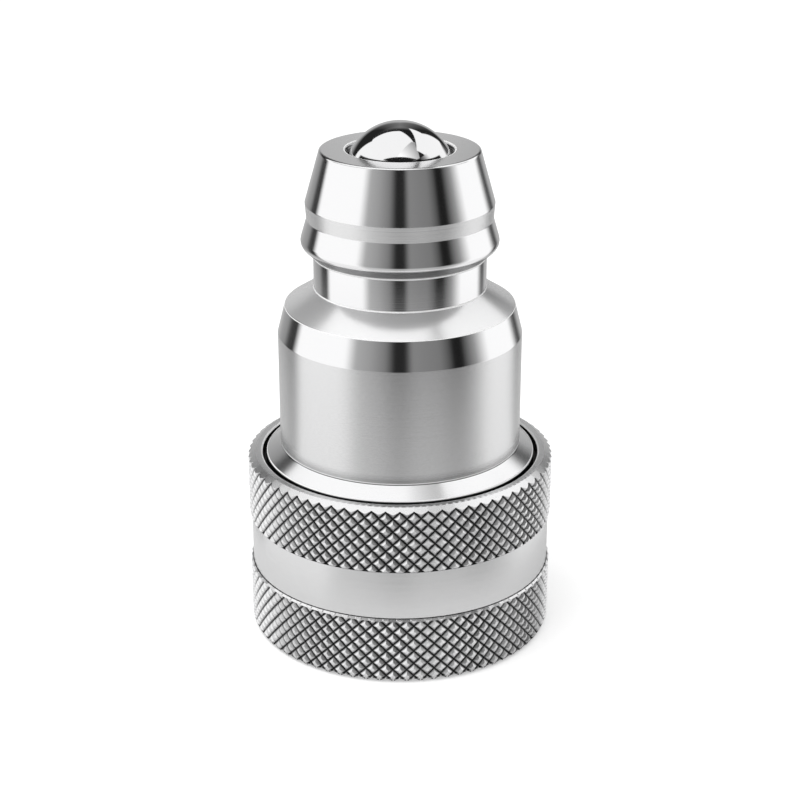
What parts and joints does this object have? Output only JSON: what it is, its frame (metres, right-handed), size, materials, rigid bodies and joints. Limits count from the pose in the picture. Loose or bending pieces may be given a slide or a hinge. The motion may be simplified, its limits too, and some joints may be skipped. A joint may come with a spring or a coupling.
{
  "type": "hydraulic quick coupler",
  "caption": "Hydraulic quick coupler adapter: a male tip with a spring-loaded check ball above a ball-lock socket with a knurled sliding sleeve.",
  "frame": {"origin": "centre of the socket body's front face, which the coupler stands on", "axes": "+Z along the coupler's axis, from the socket up to the male tip"},
  "size_m": [0.038, 0.0382, 0.0645],
  "materials": {
    "plated_steel": "turned steel, polished on the cones and satin on the barrel",
    "knurled_steel": "turned and knurled steel, bright plated",
    "polished_steel": "mirror-polished bearing ball",
    "spring_steel": "drawn spring wire and pressed washer",
    "ring_steel": "dark phosphated snap ring",
    "seal_rubber": "moulded nitrile O-ring",
    "backup_plastic": "cut low-friction plastic ring"
  },
  "bodies": {
    "coupler_body": {"tip_body": "plated_steel", "valve_spider": "plated_steel", "joint_seal": "seal_rubber", "socket_body": "plated_steel", "socket_seal": "seal_rubber", "socket_backup_ring": "backup_plastic", "sleeve_stop_ring": "ring_steel", "nose_spring": "spring_steel", "socket_spring": "spring_steel", "sleeve_spring": "spring_steel"},
    "washer": {"spring_washer": "spring_steel"},
    "sleeve": {"sleeve": "knurled_steel"},
    "nose_ball": {"nose_ball": "polished_steel"},
    "socket_ball": {"socket_ball": "polished_steel"},
    "lock_ball_1": {"lock_ball_1": "polished_steel"},
    "lock_ball_2": {"lock_ball_2": "polished_steel"},
    "lock_ball_3": {"lock_ball_3": "polished_steel"},
    "lock_ball_4": {"lock_ball_4": "polished_steel"},
    "lock_ball_5": {"lock_ball_5": "polished_steel"},
    "lock_ball_6": {"lock_ball_6": "polished_steel"},
    "lock_ball_7": {"lock_ball_7": "polished_steel"},
    "lock_ball_8": {"lock_ball_8": "polished_steel"}
  },
  "joints": [
    {"name": "sleeve_slide", "type": "slide", "parent": "coupler_body", "child": "washer", "axis": [0, 0, 1], "range_m": [0, 0.005], "stiffness_N_per_m": 600, "springref_m": -0.004, "deforming": ["sleeve_spring"]},
    {"name": "sleeve_spin", "type": "hinge", "parent": "washer", "child": "sleeve", "pos_m": [0, 0, 0.01], "axis": [0, 0, 1], "continuous": true},
    {"name": "nose_ball_travel", "type": "slide", "parent": "coupler_body", "child": "nose_ball", "axis": [0, 0, -1], "range_m": [0, 0.004], "stiffness_N_per_m": 400, "springref_m": -0.0015, "deforming": ["nose_spring"]},
    {"name": "socket_ball_travel", "type": "slide", "parent": "coupler_body", "child": "socket_ball", "axis": [0, 0, 1], "range_m": [0, 0.004], "stiffness_N_per_m": 400, "springref_m": -0.0015, "deforming": ["socket_spring"]},
    {"name": "lock_ball_1_slide", "type": "slide", "parent": "coupler_body", "child": "lock_ball_1", "axis": [1, 0, 0], "range_m": [0, 0.00105]},
    {"name": "lock_ball_2_slide", "type": "slide", "parent": "coupler_body", "child": "lock_ball_2", "axis": [0.7071, 0.7071, 0], "range_m": [0, 0.00105]},
    {"name": "lock_ball_3_slide", "type": "slide", "parent": "coupler_body", "child": "lock_ball_3", "axis": [0, 1, 0], "range_m": [0, 0.00105]},
    {"name": "lock_ball_4_slide", "type": "slide", "parent": "coupler_body", "child": "lock_ball_4", "axis": [-0.7071, 0.7071, 0], "range_m": [0, 0.00105]},
    {"name": "lock_ball_5_slide", "type": "slide", "parent": "coupler_body", "child": "lock_ball_5", "axis": [-1, 0, 0], "range_m": [0, 0.00105]},
    {"name": "lock_ball_6_slide", "type": "slide", "parent": "coupler_body", "child": "lock_ball_6", "axis": [-0.7071, -0.7071, 0], "range_m": [0, 0.00105]},
    {"name": "lock_ball_7_slide", "type": "slide", "parent": "coupler_body", "child": "lock_ball_7", "axis": [0, -1, 0], "range_m": [0, 0.00105]},
    {"name": "lock_ball_8_slide", "type": "slide", "parent": "coupler_body", "child": "lock_ball_8", "axis": [0.7071, -0.7071, 0], "range_m": [0, 0.00105]}
  ],
  "couplings": [
    {"joint": "lock_ball_1_slide", "follows": "sleeve_slide", "ratio": 0.21},
    {"joint": "lock_ball_2_slide", "follows": "sleeve_slide", "ratio": 0.21},
    {"joint": "lock_ball_3_slide", "follows": "sleeve_slide", "ratio": 0.21},
    {"joint": "lock_ball_4_slide", "follows": "sleeve_slide", "ratio": 0.21},
    {"joint": "lock_ball_5_slide", "follows": "sleeve_slide", "ratio": 0.21},
    {"joint": "lock_ball_6_slide", "follows": "sleeve_slide", "ratio": 0.21},
    {"joint": "lock_ball_7_slide", "follows": "sleeve_slide", "ratio": 0.21},
    {"joint": "lock_ball_8_slide", "follows": "sleeve_slide", "ratio": 0.21}
  ]
}
